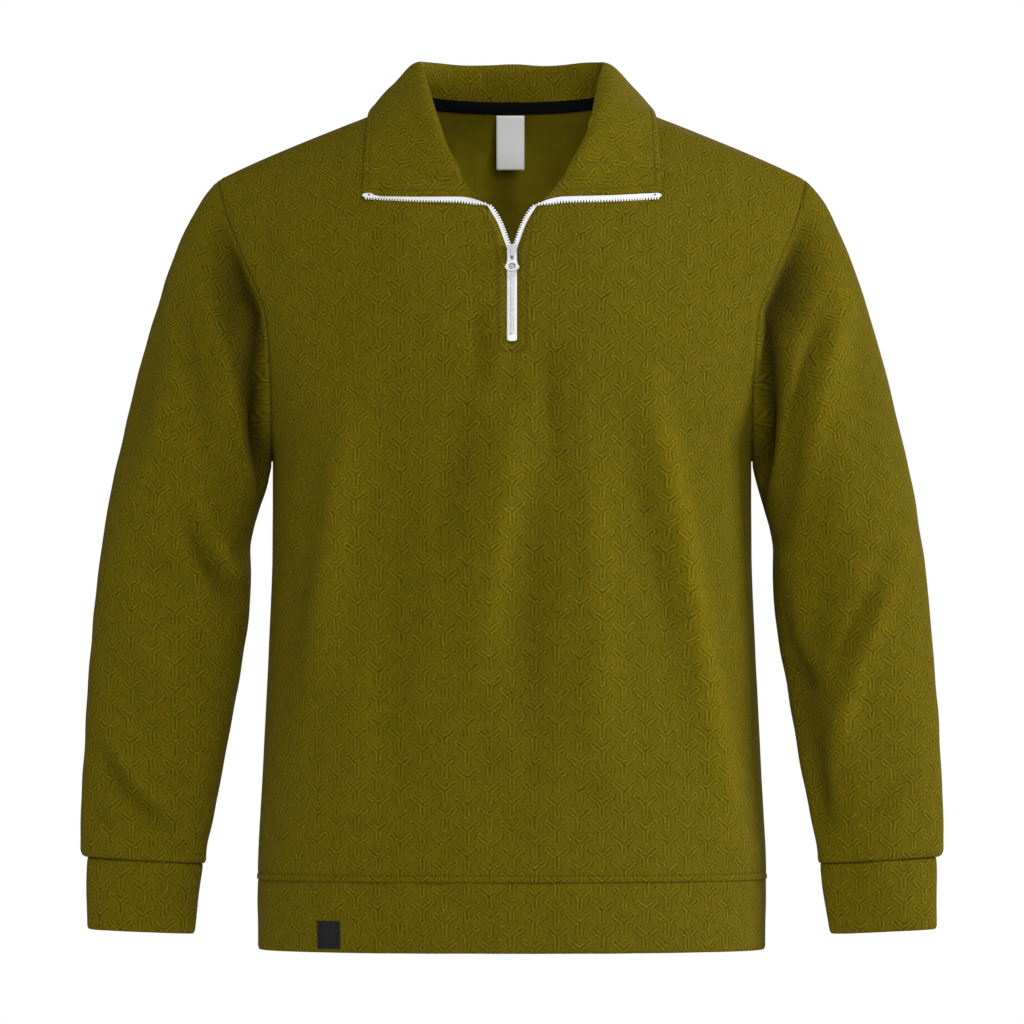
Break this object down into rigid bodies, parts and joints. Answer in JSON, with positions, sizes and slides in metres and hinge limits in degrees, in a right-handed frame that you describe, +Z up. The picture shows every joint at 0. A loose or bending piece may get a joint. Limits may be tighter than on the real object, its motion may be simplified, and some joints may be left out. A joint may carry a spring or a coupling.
{
  "type": "quarter zip pullover",
  "caption": "Long-sleeved quarter-zip pullover in olive jacquard jersey, filled out as worn, with a turned-down collar, an open zip, plain cuffs and hem band",
  "frame": {"origin": "where the wearer's shoulders carry the garment: the middle line, level with the neck ends of the shoulder seams", "axes": "+Z up, -Y is the front with the zip, +X is the wearer's left"},
  "size_m": [0.72, 0.2485, 0.742],
  "materials": {
    "olive_jersey": "matt jacquard knit with a small three-armed repeat",
    "white_zip": "moulded teeth on woven tape",
    "silver_metal": "plated, polished",
    "black_tape": "herringbone tape",
    "white_label": "woven, bare",
    "charcoal_twill": "woven patch, bare"
  },
  "bodies": {
    "garment": {"back": "olive_jersey", "collar": "olive_jersey", "cuff_left": "olive_jersey", "cuff_right": "olive_jersey", "front": "olive_jersey", "hem_band": "olive_jersey", "hem_patch": "charcoal_twill", "neck_tape": "black_tape", "size_label": "white_label", "sleeve_left": "olive_jersey", "sleeve_right": "olive_jersey", "zip_chain": "white_zip", "zip_slider": "silver_metal", "zip_stop": "white_zip", "zip_tape_left": "white_zip", "zip_tape_right": "white_zip"},
    "pull": {"zip_pull": "silver_metal"}
  },
  "joints": [
    {"name": "pull_swing", "type": "hinge", "parent": "garment", "child": "pull", "pos_m": [0, -0.10917, -0.13056], "axis": [-1, 0, 0], "range_deg": [0, 130]}
  ]
}
